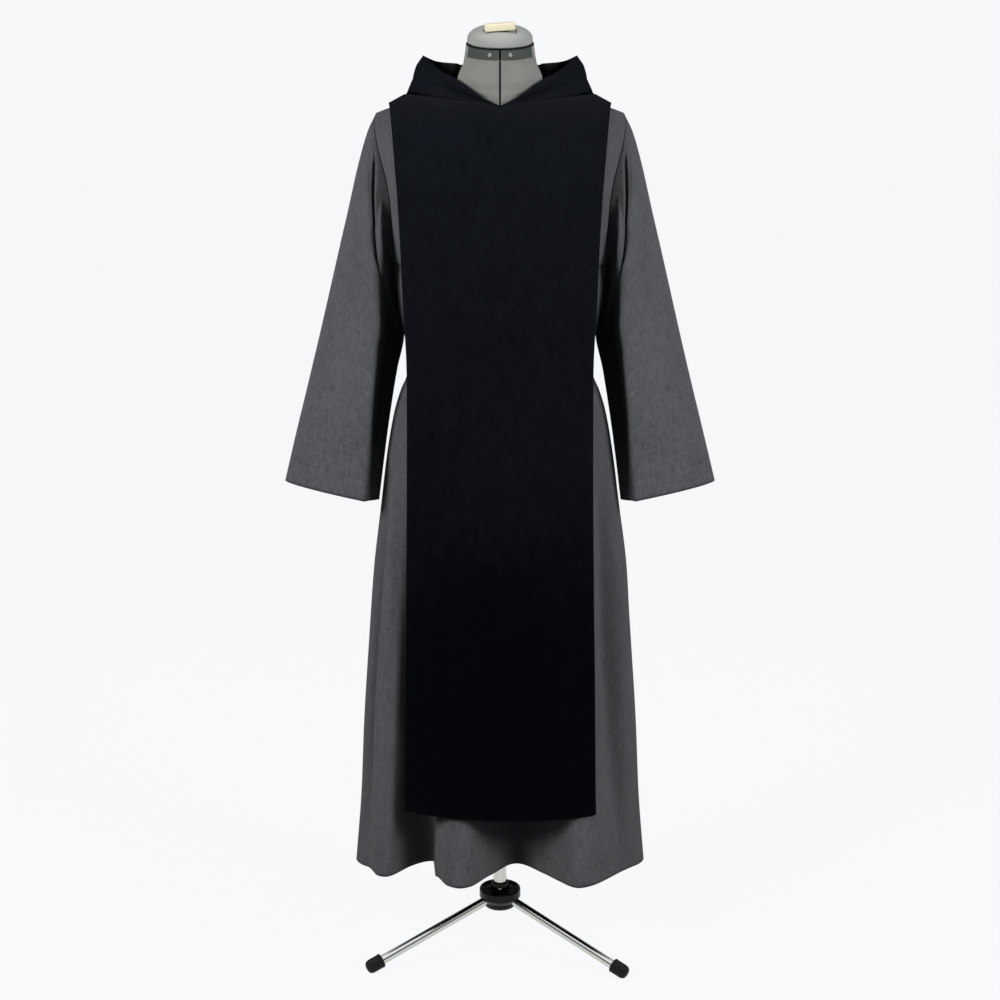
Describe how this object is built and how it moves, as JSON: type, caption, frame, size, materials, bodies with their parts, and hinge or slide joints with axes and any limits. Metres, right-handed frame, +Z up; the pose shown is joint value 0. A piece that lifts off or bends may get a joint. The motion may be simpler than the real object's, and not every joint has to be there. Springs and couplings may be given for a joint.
{
  "type": "monk habit on a dress form",
  "caption": "Long-sleeved ankle-length tunic with a hooded scapular over it, standing on a limbless dress form with a tripod stand.",
  "frame": {"origin": "on the floor, under the middle of the whole object's box; the pole's axis is at x 0, y -0.05167", "axes": "+Z up; the habit's front faces -Y; the wearer's left is +X"},
  "size_m": [0.774, 0.4612, 1.7128],
  "materials": {
    "grey_cloth": "charcoal heather wool weave, matt",
    "black_cloth": "near-black wool weave, matt",
    "form_cloth": "warm grey jersey",
    "plate_paint": "satin dark grey-green paint",
    "cap_metal": "silver-grey metallic lacquer",
    "cream_plastic": "satin cream",
    "chrome": "polished",
    "hub_plastic": "gloss black",
    "rubber": "matt black"
  },
  "bodies": {
    "stand": {"pole": "chrome", "hub": "hub_plastic", "hub_screw": "chrome", "leg_left": "chrome", "leg_right": "chrome", "leg_back": "chrome", "foot_left": "rubber", "foot_right": "rubber", "foot_back": "rubber"},
    "form": {"dress_form": "form_cloth", "neck_plate_left": "plate_paint", "neck_plate_right": "plate_paint", "rivet_left": "chrome", "rivet_right": "chrome", "neck_cap": "cap_metal", "cap_handle": "cream_plastic", "tunic_front": "grey_cloth", "tunic_back": "grey_cloth", "sleeve_left": "grey_cloth", "sleeve_right": "grey_cloth", "scapular_front": "black_cloth", "scapular_back": "black_cloth", "hood_left": "black_cloth", "hood_right": "black_cloth"}
  },
  "joints": [
    {"name": "form_turn", "type": "hinge", "parent": "stand", "child": "form", "pos_m": [0, -0.05167, 0.89], "axis": [0, 0, 1], "continuous": true}
  ]
}
